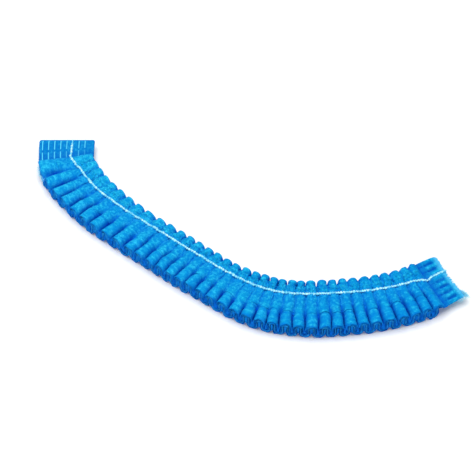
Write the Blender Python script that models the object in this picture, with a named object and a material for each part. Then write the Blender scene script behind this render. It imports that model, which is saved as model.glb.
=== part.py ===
# Disposable strip cap as packed: a stack of pressed cloth plies gathered crosswise by two
# elastic threads into rows of barrels, with both ends welded flat. It lies curved on a floor at
# z = 0, +X along its longest side, and the middle of its outline is at the origin.

import math

import bpy
import numpy as np

# The strip of folded cloth, in metres.
STRIP_LENGTH = 0.250
STRIP_WIDTH = 0.028
GATHERED_HEIGHT = 0.0094
PLY_STACK = 0.0027
GATHER_COUNT = 36
END_GATHER_HEIGHT = 0.85  # share of the full height that the first and last gathers rise to
END_FOLD_RADIUS = 0.0010  # of the bend from each welded end up into its first gather
FLOOR_PRESS = 0.00025  # how far each lower fold is pressed flat against the floor

# The welded ends.
LEFT_TAB_LENGTH = 0.013
RIGHT_TAB_LENGTH = 0.013
TAB_THICKNESS = 0.0012
TAB_CORNER_RADIUS = 0.0015

# The weld dashes, in two rows on each tab.
LEFT_DASH_COLUMNS = 9
LEFT_DASH_PITCH = 0.00305
LEFT_DASH_MARGIN = 0.0008  # from the cut edge
RIGHT_DASH_COLUMNS = 7
RIGHT_DASH_PITCH = 0.0037
RIGHT_DASH_MARGIN = 0.0046
DASH_WIDTH = 0.0006
DASH_DEPTH = 0.00035
OUTER_DASH_LENGTH = 0.0052
INNER_DASH_LENGTH = 0.0042
DASH_ROW_GAP = 0.0011
DASH_GATHER_MARGIN = 0.0006
SHORTEST_DASH = 0.0008

# The elastic threads, one on each hem.
ELASTIC_DIAMETER = 0.0009
ELASTIC_GAP = 0.0003
ELASTIC_SIDES = 8
ELASTIC_LEAVES = 0.85  # share of the end fold's slope at which the thread leaves it for the tab

# Most of half a pitch that the plies fill where a bend crowds the gathers and presses them thin.
PACKING = 0.78
# Largest radius of a fold, as a share of the height that it rises to, and of the radius at which
# an upper and a lower fold would meet with no leg between them.
LARGEST_FOLD = 0.7
MEETING_SHARE = 0.96
FOLD_STATIONS = 6
TAB_STATIONS = 4
MIDLINE_STEPS = 800

# How the strip lies, section by section: share of its length, the direction that it runs in and
# the direction of its pleats (degrees), its width (share of STRIP_WIDTH), the place of the
# elastic (share of the width from the front edge) and the pitch of its gathers (relative).
SECTIONS = {
    "share": (0, 0.055, 0.085, 0.11, 0.155, 0.22, 0.30, 0.42, 0.52, 0.59, 0.66, 0.73, 0.82, 0.90, 0.95, 1),
    "heading": (-89, -82, -66, -59, -53, -45, -39, -38, -35, -26, -9, 3, 10, 21, 32, 29),
    "pleat": (0, 10, 20, 28, 36, 43, 47, 50, 55, 66, 81, 92, 101, 111, 116, 117),
    "width": (1.04, 1.02, 1.03, 1.02, 0.97, 0.94, 0.89, 0.89, 0.87, 0.95, 0.98, 1.02, 1.01, 1, 1.03, 0.99),
    "elastic": (0.6, 0.61, 0.64, 0.66, 0.66, 0.69, 0.72, 0.72, 0.72, 0.7, 0.71, 0.71, 0.69, 0.67, 0.63, 0.63),
    "pitch": (1.8, 1.78, 1.5, 1.07, 1.08, 1.16, 1.2, 0.95, 0.99, 0.9, 0.9, 0.93, 0.93, 0.9, 1.0, 1.1),
}

# Lines along the strip: place across the width (share from the middle; the elastic line takes
# its place from SECTIONS), how much of the dip it has, and how round its folds are.
LINES = {
    "place": (-0.5, -0.27, None, 0.36, 0.5),
    "dip": (0, 0, 1, 0, 0),
    "fullness": (1.08, 1.07, 0.93, 1.0, 1.0),
}
ELASTIC_LINE = LINES["place"].index(None)

MIDDLE_HEIGHT = GATHERED_HEIGHT / 2
ELASTIC_DIP = ELASTIC_DIAMETER + 2 * ELASTIC_GAP


def clear_scene():
    for old in list(bpy.data.objects):
        bpy.data.objects.remove(old, do_unlink=True)


def section_value(name, share):
    """The named column at these shares: a smooth curve through the table's rows, level at each turn."""
    places = np.array(SECTIONS["share"], float)
    values = np.array(SECTIONS[name], float)
    slopes = np.diff(values) / np.diff(places)
    same_way = np.sign(slopes[1:]) == np.sign(slopes[:-1])
    tangents = np.concatenate(([slopes[0]], (slopes[1:] + slopes[:-1]) / 2 * same_way, [slopes[-1]]))
    row = np.clip(np.searchsorted(places, share, side="right") - 1, 0, len(places) - 2)
    span = places[row + 1] - places[row]
    t = (share - places[row]) / span
    return (
        (1 + 2 * t) * (1 - t) ** 2 * values[row]
        + t * (1 - t) ** 2 * span * tangents[row]
        + t * t * (3 - 2 * t) * values[row + 1]
        + t * t * (t - 1) * span * tangents[row + 1]
    )


def running_sum(values, step):
    """The integral of evenly spaced values from the first one, by the trapezoid rule."""
    between = (values[1:] + values[:-1]) / 2 * step
    start = np.zeros((1,) + values.shape[1:])
    return np.concatenate((start, np.cumsum(between, axis=0)))


def lay_midline():
    """Distances along the strip and the plan points of its middle there."""
    share = np.linspace(0, 1, MIDLINE_STEPS + 1)
    heading = np.radians(section_value("heading", share))
    ahead = np.stack((np.cos(heading), np.sin(heading)), axis=-1)
    return share * STRIP_LENGTH, running_sum(ahead, STRIP_LENGTH / MIDLINE_STEPS)


MIDLINE_DISTANCE, MIDLINE_POINTS = lay_midline()


def plan_frame(distance):
    """Middle point, direction of the pleats and direction square to them, in plan, at each distance."""
    share = distance / STRIP_LENGTH
    middle = np.stack([np.interp(distance, MIDLINE_DISTANCE, MIDLINE_POINTS[:, i]) for i in (0, 1)], axis=-1)
    pleat = np.radians(section_value("pleat", share))
    side = np.stack((np.cos(pleat), np.sin(pleat)), axis=-1)
    square = np.stack((np.sin(pleat), -np.cos(pleat)), axis=-1)
    return middle, side, square


def line_places(distance):
    """How far each line lies from the middle at each distance, a row per distance."""
    share = distance / STRIP_LENGTH
    width = STRIP_WIDTH * section_value("width", share)
    elastic = section_value("elastic", share) - 0.5
    return np.stack([width * (elastic if place is None else place) for place in LINES["place"]], axis=-1)


def fold_distances():
    """Distance along the strip of each fold's middle: lower, upper, lower and so on, two to a gather."""
    start, end = LEFT_TAB_LENGTH, STRIP_LENGTH - RIGHT_TAB_LENGTH
    distance = np.linspace(start, end, MIDLINE_STEPS + 1)
    density = 1 / section_value("pitch", distance / STRIP_LENGTH)
    gathers = running_sum(density, (end - start) / MIDLINE_STEPS)
    wanted = np.arange(2 * GATHER_COUNT + 1) / (2 * GATHER_COUNT) * gathers[-1]
    return np.interp(wanted, gathers, distance)


def solve_folds():
    """Every fold on every line: its centre in plan and in height, radius, wall and the slopes of its legs."""
    distance = fold_distances()
    middle, side, square = plan_frame(distance)
    centre = middle[:, None] + side[:, None] * line_places(distance)[:, :, None]
    spacing = np.linalg.norm(np.diff(centre, axis=0), axis=-1)
    pitch = np.concatenate((2 * spacing[:1], spacing[1:] + spacing[:-1], 2 * spacing[-1:]))

    dip = ELASTIC_DIP * np.array(LINES["dip"], float)
    reach = MIDDLE_HEIGHT + FLOOR_PRESS / 2 - PLY_STACK / 2 - dip
    meeting = reach / 2 + pitch**2 / (32 * reach)
    radius = np.minimum(np.array(LINES["fullness"]) * pitch / 4, LARGEST_FOLD * reach)
    radius = np.minimum(radius, MEETING_SHARE * meeting)
    wall = np.minimum(PLY_STACK, PACKING * pitch / 2)

    upper = np.arange(len(distance)) % 2 == 1
    rise = np.ones(len(distance))
    rise[[1, -2]] = END_GATHER_HEIGHT
    outward = np.where(upper, 1.0, -1.0)[:, None]
    pressed = MIDDLE_HEIGHT - FLOOR_PRESS / 2
    height = pressed + outward * (rise[:, None] * (reach + (PLY_STACK - wall) / 2) - radius)
    radius[[0, -1]] = END_FOLD_RADIUS
    height[[0, -1]] = MIDDLE_HEIGHT + END_FOLD_RADIUS
    wall[[0, -1]] = TAB_THICKNESS

    climb = np.diff(height, axis=0) * outward[1:]
    apart = np.hypot(climb, spacing)
    leg = np.arctan2(climb, spacing) + np.arcsin(np.minimum((radius[1:] + radius[:-1]) / apart, 1))
    level = np.zeros((1, leg.shape[1]))
    return {
        "centre": centre,
        "square": square,
        "height": height,
        "radius": radius,
        "wall": wall,
        "upper": upper,
        "leg_before": np.concatenate((level, leg)),
        "leg_after": np.concatenate((leg, level)),
    }


def fold_skins(folds):
    """Upper and lower skin points of the gathered stretch: a row per station, a column per line."""
    upper_skin, lower_skin = [], []
    last = len(folds["upper"]) - 1
    for k, upper in enumerate(folds["upper"]):
        turn = np.linspace(0, 1, FOLD_STATIONS)
        if k in (0, last):
            turn = turn[::2]
        bend = 1 if upper else -1
        slope = bend * (folds["leg_before"][k] * (1 - turn[:, None]) - folds["leg_after"][k] * turn[:, None])
        along, up = -np.sin(slope), np.cos(slope)
        for skin, way in ((upper_skin, 1), (lower_skin, -1)):
            reach = bend * folds["radius"][k] + way * folds["wall"][k] / 2
            plan = folds["centre"][k] + folds["square"][k] * (reach * along)[:, :, None]
            height = folds["height"][k] + reach * up
            skin.append(np.concatenate((plan, height[:, :, None]), axis=-1))
    return np.concatenate(upper_skin), np.concatenate(lower_skin)


def tab_skins(length, at_start):
    """Upper and lower skin points of a welded tab, from its cut edge to the gathers or back."""
    corner = TAB_CORNER_RADIUS * (1 - np.cos(np.linspace(0, math.pi / 2, TAB_STATIONS)))
    inset = np.concatenate((corner, np.linspace(TAB_CORNER_RADIUS, length, TAB_STATIONS)[1:-1]))
    lost = np.clip(TAB_CORNER_RADIUS - inset, 0, None)
    narrowed = TAB_CORNER_RADIUS - np.sqrt(TAB_CORNER_RADIUS**2 - lost**2)
    distance = inset if at_start else STRIP_LENGTH - inset[::-1]
    narrowed = narrowed if at_start else narrowed[::-1]
    middle, side, _ = plan_frame(distance)
    places = line_places(distance)
    places = places * (1 - narrowed / np.abs(places).max(axis=1))[:, None]
    plan = middle[:, None] + side[:, None] * places[:, :, None]
    skins = []
    for way in (1, -1):
        height = np.full(places.shape, MIDDLE_HEIGHT + way * TAB_THICKNESS / 2)
        skins.append(np.concatenate((plan, height[:, :, None]), axis=-1))
    return skins


def grid_faces(stations, lines):
    """Quads of the closed wall between two grids of points, the upper grid's points first."""
    index = np.arange(stations * lines).reshape(stations, lines)
    below = index + stations * lines
    top = np.stack((index[:-1, :-1], index[1:, :-1], index[1:, 1:], index[:-1, 1:]), axis=-1)
    bottom = np.stack((below[:-1, :-1], below[:-1, 1:], below[1:, 1:], below[1:, :-1]), axis=-1)
    front = np.stack((index[:-1, 0], below[:-1, 0], below[1:, 0], index[1:, 0]), axis=-1)
    back = np.stack((index[:-1, -1], index[1:, -1], below[1:, -1], below[:-1, -1]), axis=-1)
    start = np.stack((index[0, :-1], index[0, 1:], below[0, 1:], below[0, :-1]), axis=-1)
    end = np.stack((index[-1, :-1], below[-1, :-1], below[-1, 1:], index[-1, 1:]), axis=-1)
    return np.concatenate([quads.reshape(-1, 4) for quads in (top, bottom, front, back, start, end)])


def new_object(name, data, material=None):
    made = bpy.data.objects.new(name, data)
    bpy.context.scene.collection.objects.link(made)
    if material:
        data.materials.append(material)
    return made


def mesh_of(name, points, faces):
    mesh = bpy.data.meshes.new(name)
    mesh.from_pydata(points.tolist(), [], faces.tolist())
    mesh.validate()
    mesh.update()
    return mesh


def plain_material(name, colour, roughness):
    material = bpy.data.materials.new(name)
    material.use_nodes = True
    shader = material.node_tree.nodes["Principled BSDF"]
    shader.inputs["Base Color"].default_value = (*colour, 1)
    shader.inputs["Roughness"].default_value = roughness
    shader.inputs["Metallic"].default_value = 0
    return material


def dash_boxes(folds, at_start):
    """Corner points of a tab's weld dashes: each is a box sunk into the tab's upper face."""
    end = np.array([0.0 if at_start else STRIP_LENGTH])
    middle, side, square = (value[0] for value in plan_frame(end))
    inward = square if at_start else -square
    fold = 0 if at_start else -1
    columns = LEFT_DASH_COLUMNS if at_start else RIGHT_DASH_COLUMNS
    pitch = LEFT_DASH_PITCH if at_start else RIGHT_DASH_PITCH
    outer_start = LEFT_DASH_MARGIN if at_start else RIGHT_DASH_MARGIN
    inner_start = outer_start + OUTER_DASH_LENGTH + DASH_ROW_GAP
    top = MIDDLE_HEIGHT + TAB_THICKNESS / 2
    boxes = []
    for column in range(columns):
        across = (column - (columns - 1) / 2) * pitch
        gathers = (folds["centre"][fold] - middle) @ np.stack((side, inward), axis=-1)
        flat_end = np.interp(across, gathers[:, 0], gathers[:, 1]) - DASH_GATHER_MARGIN
        for start, length in ((outer_start, OUTER_DASH_LENGTH), (inner_start, INNER_DASH_LENGTH)):
            stop = min(start + length, flat_end)
            if stop - start < SHORTEST_DASH:
                continue
            for reach in (start, stop):
                for edge in (-DASH_WIDTH / 2, DASH_WIDTH / 2):
                    spot = middle + side * (across + edge) + inward * reach
                    boxes.append((*spot, top - DASH_DEPTH))
                    boxes.append((*spot, top + TAB_THICKNESS))
    return np.array(boxes)


def box_faces(count, mirrored):
    """Faces of that many boxes, each of eight corners in the order that dash_boxes gives them."""
    one = np.array(((0, 1, 3, 2), (4, 6, 7, 5), (0, 4, 5, 1), (2, 3, 7, 6), (0, 2, 6, 4), (1, 5, 7, 3)))
    if mirrored:
        one = one[:, ::-1]
    return (np.arange(count)[:, None, None] * 8 + one).reshape(-1, 4)


def cut_dashes(cap, folds, shift):
    """Sinks the weld dashes of both tabs into the cap."""
    points, faces = [], []
    for at_start in (True, False):
        corners = dash_boxes(folds, at_start)
        faces.append(box_faces(len(corners) // 8, not at_start) + sum(len(p) for p in points))
        points.append(corners - shift)
    boxes = mesh_of("weld_dash_cutter", np.concatenate(points), np.concatenate(faces))
    cutter = new_object("weld_dash_cutter", boxes)
    cutter.hide_render = True
    cutter.display_type = "WIRE"
    cut = cap.modifiers.new("weld_dashes", "BOOLEAN")
    cut.operation = "DIFFERENCE"
    cut.solver = "EXACT"
    cut.object = cutter


def cap_points(folds):
    """The whole wall, upper skin and lower skin, pressed flat where it meets the floor."""
    left = tab_skins(LEFT_TAB_LENGTH, True)
    right = tab_skins(RIGHT_TAB_LENGTH, False)
    gathered = fold_skins(folds)
    skins = [np.concatenate(parts) for parts in zip(left, gathered, right)]
    for skin in skins:
        skin[:, :, 2] = np.clip(skin[:, :, 2], 0, None)
    return skins


def elastic_route(folds, way):
    """Points of a thread stretched over the upper folds (way 1) or under the lower ones (way -1)."""
    chosen = np.flatnonzero(folds["upper"] == (way > 0))
    if way < 0:
        chosen = chosen[1:-1]
    clear = ELASTIC_GAP + ELASTIC_DIAMETER / 2
    line = ELASTIC_LINE

    def over_fold(k, slope):
        reach = folds["radius"][k, line] + folds["wall"][k, line] / 2 + clear
        plan = folds["centre"][k, line] - folds["square"][k] * reach * math.sin(slope) * way
        return (*plan, folds["height"][k, line] + way * reach * math.cos(slope))

    def over_tab(inset, at_start):
        distance = np.array([inset if at_start else STRIP_LENGTH - inset])
        middle, side, _ = plan_frame(distance)
        plan = middle[0] + side[0] * line_places(distance)[0, line]
        return (*plan, MIDDLE_HEIGHT + way * (TAB_THICKNESS / 2 + clear))

    steps = np.linspace(0, 1, TAB_STATIONS)
    first, last = chosen[0], chosen[-1]
    rising = way * ELASTIC_LEAVES * folds["leg_before"][first, line]
    falling = way * ELASTIC_LEAVES * folds["leg_after"][last, line]
    points = [over_tab(LEFT_TAB_LENGTH * step, True) for step in steps]
    points += [over_fold(first, rising * share) for share in (1, 0.5)]
    points += [over_fold(k, 0) for k in chosen]
    points += [over_fold(last, -falling * share) for share in (0.5, 1)]
    points += [over_tab(RIGHT_TAB_LENGTH * step, False) for step in steps[::-1]]
    return np.array(points)


def make_elastic(name, route, material):
    """A round thread along the route, closed at both ends."""
    curve = bpy.data.curves.new(name, "CURVE")
    curve.dimensions = "3D"
    curve.bevel_depth = ELASTIC_DIAMETER / 2
    curve.bevel_resolution = ELASTIC_SIDES // 2 - 2
    curve.use_fill_caps = True
    spline = curve.splines.new("POLY")
    spline.points.add(len(route) - 1)
    spline.points.foreach_set("co", np.column_stack((route, np.ones(len(route)))).ravel())
    return new_object(name, curve, material)


def main():
    clear_scene()
    cloth = plain_material("blue_nonwoven", (0.02, 0.30, 0.72), 0.75)
    thread = plain_material("white_elastic", (0.80, 0.92, 0.96), 0.6)

    folds = solve_folds()
    upper_skin, lower_skin = cap_points(folds)
    outline = np.concatenate((upper_skin, lower_skin)).reshape(-1, 3)
    shift = (outline.max(axis=0) + outline.min(axis=0)) / 2 * (1, 1, 0)
    wall = mesh_of("pleated_cap", outline - shift, grid_faces(*upper_skin.shape[:2]))
    cap = new_object("pleated_cap", wall, cloth)
    cap.data.shade_smooth()
    cap.data.set_sharp_from_angle(angle=math.radians(50))
    cut_dashes(cap, folds, shift)

    make_elastic("upper_elastic", elastic_route(folds, 1) - shift, thread)
    make_elastic("lower_elastic", elastic_route(folds, -1) - shift, thread)


main()
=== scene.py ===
import math

import bpy
import numpy as np
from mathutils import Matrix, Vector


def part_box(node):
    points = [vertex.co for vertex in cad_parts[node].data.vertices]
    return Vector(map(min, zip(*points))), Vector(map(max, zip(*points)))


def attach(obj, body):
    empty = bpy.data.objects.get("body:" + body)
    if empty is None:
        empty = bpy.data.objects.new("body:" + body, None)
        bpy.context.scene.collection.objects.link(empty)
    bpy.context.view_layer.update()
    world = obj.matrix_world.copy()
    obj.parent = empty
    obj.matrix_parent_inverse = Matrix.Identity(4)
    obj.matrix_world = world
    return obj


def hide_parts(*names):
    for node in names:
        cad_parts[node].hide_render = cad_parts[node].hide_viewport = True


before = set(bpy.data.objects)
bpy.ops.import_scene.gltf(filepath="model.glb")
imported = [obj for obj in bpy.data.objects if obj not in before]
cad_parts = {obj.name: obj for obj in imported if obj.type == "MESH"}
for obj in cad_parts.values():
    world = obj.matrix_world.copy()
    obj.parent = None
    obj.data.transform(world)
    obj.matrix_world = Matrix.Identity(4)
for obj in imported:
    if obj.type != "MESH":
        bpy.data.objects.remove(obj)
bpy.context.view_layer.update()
capLow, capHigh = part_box("pleated_cap")
print("frame loaded:", sorted(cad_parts))

# The folded strip, in metres, as the solids have it.
strip = {
    "length": 0.250,
    "width": 0.028,
    "height": 0.0094,
    "stack": 0.0029,           # all plies, as loosely as they lie
    "gathers": 36,
    "endGather": 0.85,         # how high the first and last gathers rise, a share
    "endRadius": 0.001,
    "press": 0.00025,          # how far the lower folds are pressed flat
    "leftTab": 0.013,
    "rightTab": 0.013,
    "tabThickness": 0.0012,
    "endWall": 0.7,            # share of that thickness that the stack has at its first and last fold
    "tuckedWall": 0.6,         # and inside the welded ends
    "packing": 0.93,           # most of half a pitch that the stack fills
    "largestFold": 0.7,
    "meeting": 0.96,
    "dip": 0.0015,             # along the elastic
}
middleHeight = strip["height"] / 2

# How it lies: share of its length, directions of the strip and of its pleats (degrees), width,
# place of the elastic across it, pitch of the gathers, how deep the gathers stay at the back edge and
# how fast they flatten out from the front edge towards the elastic.
sections = {
    "share": (0, 0.055, 0.085, 0.11, 0.155, 0.22, 0.30, 0.42, 0.52, 0.59, 0.66, 0.73, 0.82, 0.90, 0.95, 1),
    "heading": (-90, -83, -67, -60, -53, -45, -39, -38, -35, -26, -9, 3, 10, 21, 32, 29),
    "pleat": (0, 10, 20, 28, 36, 43, 47, 50, 55, 66, 81, 92, 101, 111, 116, 117),
    "width": (1.04, 1.02, 1.03, 1.02, 0.97, 0.94, 0.89, 0.89, 0.87, 0.95, 0.98, 1.02, 1.01, 1, 1.03, 0.99),
    "elastic": (
        0.6, 0.585, 0.63, 0.66, 0.66, 0.69, 0.72, 0.72, 0.72, 0.7, 0.71, 0.71, 0.69, 0.67, 0.63, 0.63,
    ),
    "pitch": (1.8, 1.78, 1.5, 1.07, 1.08, 1.16, 1.2, 0.95, 0.99, 0.9, 0.87, 0.9, 0.93, 0.92, 1.02, 1.12),
    "backDepth": (0.3, 0.3, 0.2, 0.15, 0.2, 0.4, 0.5, 0.6, 0.7, 0.9, 1, 0.8, 0.3, 0.25, 0.25, 0.2),
    "flatten": (1, 1, 1.1, 1.1, 1.2, 1.2, 1.2, 1.3, 1.9, 2.3, 2.1, 1.7, 1.2, 1, 1, 1),
}

# Lines along the strip: place across it (share from the middle) and how round its folds are.
lines = {"place": (-0.5, -0.27, 0.21, 0.36, 0.5), "fullness": (1.02, 1.0, 0.92, 0.98, 1.0)}
dipFront, dipBack = lines["place"][1], lines["place"][3]

# The uneven hand of real gathers. A run is a number of folds, and so are the ends that stay even.
uneven = {
    "seed": 11, "shift": 0.00030, "shiftRun": 4.5, "wander": 0.0002, "wanderRun": 5, "evenEnds": 3,
    "rise": 0.05, "fade": 0.06,
}

midlineSteps = 800
arcSteps = 8                   # stations round each fold
legSteps = 4                   # and down each leg
blockSteps = arcSteps + legSteps
tabSteps = 2                   # stations tucked into each welded end
tuck = 0.0016
foldCount = 2 * strip["gathers"] + 1
firstMiddle = tabSteps + arcSteps // 2


def waves(x, y, seed, count=9):
    # a smooth random surface: cosines of about one turn per unit, each in its own direction
    draw = np.random.default_rng(seed)
    total = 0
    for turn, rate, phase in draw.uniform((0, 0.6, 0), (2 * math.pi, 1.4, 2 * math.pi), (count, 3)):
        total = total + np.cos(2 * math.pi * rate * (x * math.cos(turn) + y * math.sin(turn)) + phase)
    return total / math.sqrt(count)


def streaks(x, y, seed, count=9):
    # the same with every cosine running mostly along x, so that it makes ridges that lie along y
    draw = np.random.default_rng(seed)
    total = 0
    for rate, lean, phase in draw.uniform((0.7, -1, 0), (1.35, 1, 2 * math.pi), (count, 3)):
        total = total + np.cos(2 * math.pi * (x * rate + y * lean) + phase)
    return total / math.sqrt(count)


def ease(value):
    # 0 to 1 with a smooth start and end
    t = np.clip(value, 0, 1)
    return t * t * (3 - 2 * t)


def sectionValue(name, share):
    # a cubic through the table's rows, level wherever the values turn
    places = np.array(sections["share"], float)
    values = np.array(sections[name], float)
    slopes = np.diff(values) / np.diff(places)
    sameWay = np.sign(slopes[1:]) == np.sign(slopes[:-1])
    tangents = np.concatenate(([slopes[0]], (slopes[1:] + slopes[:-1]) / 2 * sameWay, [slopes[-1]]))
    row = np.clip(np.searchsorted(places, share, side="right") - 1, 0, len(places) - 2)
    span = places[row + 1] - places[row]
    t = (share - places[row]) / span
    return (
        (1 + 2 * t) * (1 - t) ** 2 * values[row]
        + t * (1 - t) ** 2 * span * tangents[row]
        + t * t * (3 - 2 * t) * values[row + 1]
        + t * t * (t - 1) * span * tangents[row + 1]
    )


def runningSum(values, step):
    # the integral of evenly spaced values, by the trapezoid rule
    between = (values[1:] + values[:-1]) / 2 * step
    return np.concatenate((np.zeros((1,) + values.shape[1:]), np.cumsum(between, axis=0)))


# The mid-line starts at the middle of the left cut edge, which the frame's box gives.
stripStart = np.array((capLow.x + strip["width"] * float(sectionValue("width", 0.0)) / 2, capHigh.y))
midlineShare = np.linspace(0, 1, midlineSteps + 1)
midlineHeading = np.radians(sectionValue("heading", midlineShare))
midlinePoints = stripStart + runningSum(
    np.stack((np.cos(midlineHeading), np.sin(midlineHeading)), axis=-1), strip["length"] / midlineSteps
)


def planFrame(distance):
    # middle point, direction of the pleats and direction square to them, in plan
    share = distance / strip["length"]
    middle = np.stack([np.interp(share, midlineShare, midlinePoints[:, i]) for i in (0, 1)], axis=-1)
    pleat = np.radians(sectionValue("pleat", share))
    side = np.stack((np.cos(pleat), np.sin(pleat)), axis=-1)
    square = np.stack((np.sin(pleat), -np.cos(pleat)), axis=-1)
    return middle, side, square


def stripWidth(distance):
    return strip["width"] * sectionValue("width", distance / strip["length"])


def planPoint(distance, places):
    # the point at these shares of the width from the middle, and the same two directions
    middle, side, square = planFrame(distance)
    return middle + side * (stripWidth(distance) * places)[..., None], side, square


def elasticPlace(distance):
    return sectionValue("elastic", distance / strip["length"]) - 0.5


def foldDistances():
    # lower, upper, lower and so on, closer together where the pitch column is small
    start, end = strip["leftTab"], strip["length"] - strip["rightTab"]
    distance = np.linspace(start, end, midlineSteps + 1)
    density = 1 / sectionValue("pitch", distance / strip["length"])
    turned = runningSum(density, (end - start) / midlineSteps)
    wanted = np.linspace(0, turned[-1], foldCount)
    return np.interp(wanted, turned, distance)


foldIndex = np.arange(foldCount)
endTaper = np.clip(np.minimum(foldIndex, foldCount - 1 - foldIndex) / uneven["evenEnds"], 0, 1)
unevenDraw = np.random.default_rng(uneven["seed"])
foldShift = uneven["shift"] * waves(foldIndex / uneven["shiftRun"], 0, uneven["seed"] + 1) * endTaper
foldRise = 1 - uneven["rise"] * unevenDraw.uniform(0, 1, foldCount)
foldRise[[1, -2]] = strip["endGather"]
foldFade = uneven["fade"] * unevenDraw.normal(size=foldCount)


def solveFolds(places):
    # each fold's centre, radius and leg slopes on lines at these places across, a row per fold.
    # A leg's slope is the slope between two centres plus the angle that their two radii take up.
    wander = uneven["wander"] * waves(foldIndex[:, None] / uneven["wanderRun"], places * 2, uneven["seed"])
    distance = (foldDistances() + foldShift)[:, None] + wander * endTaper[:, None]
    centre, side, square = planPoint(distance, places)
    spacing = np.linalg.norm(np.diff(centre, axis=0), axis=-1)
    pitch = np.concatenate((2 * spacing[:1], spacing[1:] + spacing[:-1], 2 * spacing[-1:]))

    elastic = elasticPlace(distance)
    reachSide = np.where(places < elastic, elastic - dipFront, dipBack - elastic)
    dip = strip["dip"] * ease(1 - np.abs(places - elastic) / reachSide)
    reach = middleHeight + strip["press"] / 2 - strip["stack"] / 2 - dip
    fullness = np.interp(places, lines["place"], lines["fullness"])
    radius = np.minimum(fullness * pitch / 4, strip["largestFold"] * reach)
    radius = np.minimum(radius, strip["meeting"] * (reach / 2 + pitch**2 / (32 * reach)))
    wall = np.minimum(strip["stack"], strip["packing"] * pitch / 2)

    bend = np.where(foldIndex % 2 == 1, 1.0, -1.0)
    rise = np.where(bend > 0, foldRise, 1.0)[:, None]
    pressed = middleHeight - strip["press"] / 2
    height = pressed + bend[:, None] * (rise * (reach + (strip["stack"] - wall) / 2) - radius)
    radius[[0, -1]] = strip["endRadius"]
    height[[0, -1]] = middleHeight + strip["endRadius"]
    wall[[0, -1]] = strip["tabThickness"] * strip["endWall"]

    climb = np.diff(height, axis=0) * bend[1:, None]
    apart = np.hypot(climb, spacing)
    leg = np.arctan2(climb, spacing) + np.arcsin(np.minimum((radius[1:] + radius[:-1]) / apart, 1))
    level = np.zeros((1, leg.shape[1]))
    return {
        "centre": centre, "side": side, "square": square, "height": height, "radius": radius,
        "wall": wall, "bend": bend,
        "before": np.concatenate((level, leg)), "after": np.concatenate((leg, level)),
    }


wallColumns = 10


def layWall(places):
    # the middle surface of the stack: arcs round the folds, straight legs between them, level ends.
    # Columns of the last axis: point, normal, direction across the strip, thickness of the stack.
    folds = solveFolds(places)
    turn = np.linspace(0, 1, arcSteps + 1)[None, :, None]
    bend = folds["bend"][:, None, None]
    slope = bend * (folds["before"][:, None] * (1 - turn) - folds["after"][:, None] * turn)
    arcs = np.zeros(slope.shape + (wallColumns,))
    arcs[..., 3:5] = -np.sin(slope)[..., None] * folds["square"][:, None]
    arcs[..., 5] = np.cos(slope)
    arcs[..., :2] = folds["centre"][:, None]
    arcs[..., 2] = folds["height"][:, None]
    arcs[..., :3] += arcs[..., 3:6] * (bend * folds["radius"][:, None])[..., None]
    arcs[..., 6:8] = folds["side"][:, None]
    arcs[..., 9] = folds["wall"][:, None]
    step = (np.arange(1, legSteps) / legSteps)[None, :, None, None]
    legs = arcs[:-1, -1:] * (1 - step) + arcs[1:, :1] * step
    gathered = np.concatenate((arcs[:-1], legs), axis=1).reshape(-1, *arcs.shape[2:])

    ends = []
    for distance in (
        strip["leftTab"] - tuck * np.array((1, 0.5)),
        strip["length"] - strip["rightTab"] + tuck * np.array((0.5, 1)),
    ):
        distance = np.broadcast_to(distance[:, None], (tabSteps, arcs.shape[2]))
        end = np.zeros(distance.shape + (wallColumns,))
        end[..., :2], end[..., 6:8], _ = planPoint(distance, places)
        end[..., 2] = middleHeight
        end[..., 5] = 1
        end[..., 9] = strip["tabThickness"] * strip["tuckedWall"]
        ends.append(end)
    return np.concatenate((ends[0], gathered, arcs[-1], ends[1]))


endPower = {"left": 2.3, "right": 1.35}


def squareEnds(points):
    # the first gather rises steeply out of its welded end, the last one sinks slowly into the other:
    # height over plan distance is a superellipse of the power given for that end
    last = firstMiddle + blockSteps * (foldCount - 1)
    for low, way, power in ((firstMiddle, 1, endPower["left"]), (last, -1, endPower["right"])):
        stations = low + way * np.arange(blockSteps + 1)
        part = points[stations]
        away = np.linalg.norm(part[..., :2] - part[0, :, :2], axis=-1)
        rise = (1 - np.clip(1 - away / away[-1], 0, 1) ** power) ** (1 / power)
        points[stations, :, 2] = part[0, :, 2] + (part[-1, :, 2] - part[0, :, 2]) * rise
    return points


def pathLength(points):
    # distance along each column of a grid of points, from its first row
    steps = np.linalg.norm(np.diff(points, axis=0), axis=-1)
    return np.concatenate((np.zeros((1, points.shape[1])), np.cumsum(steps, axis=0)))


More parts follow.
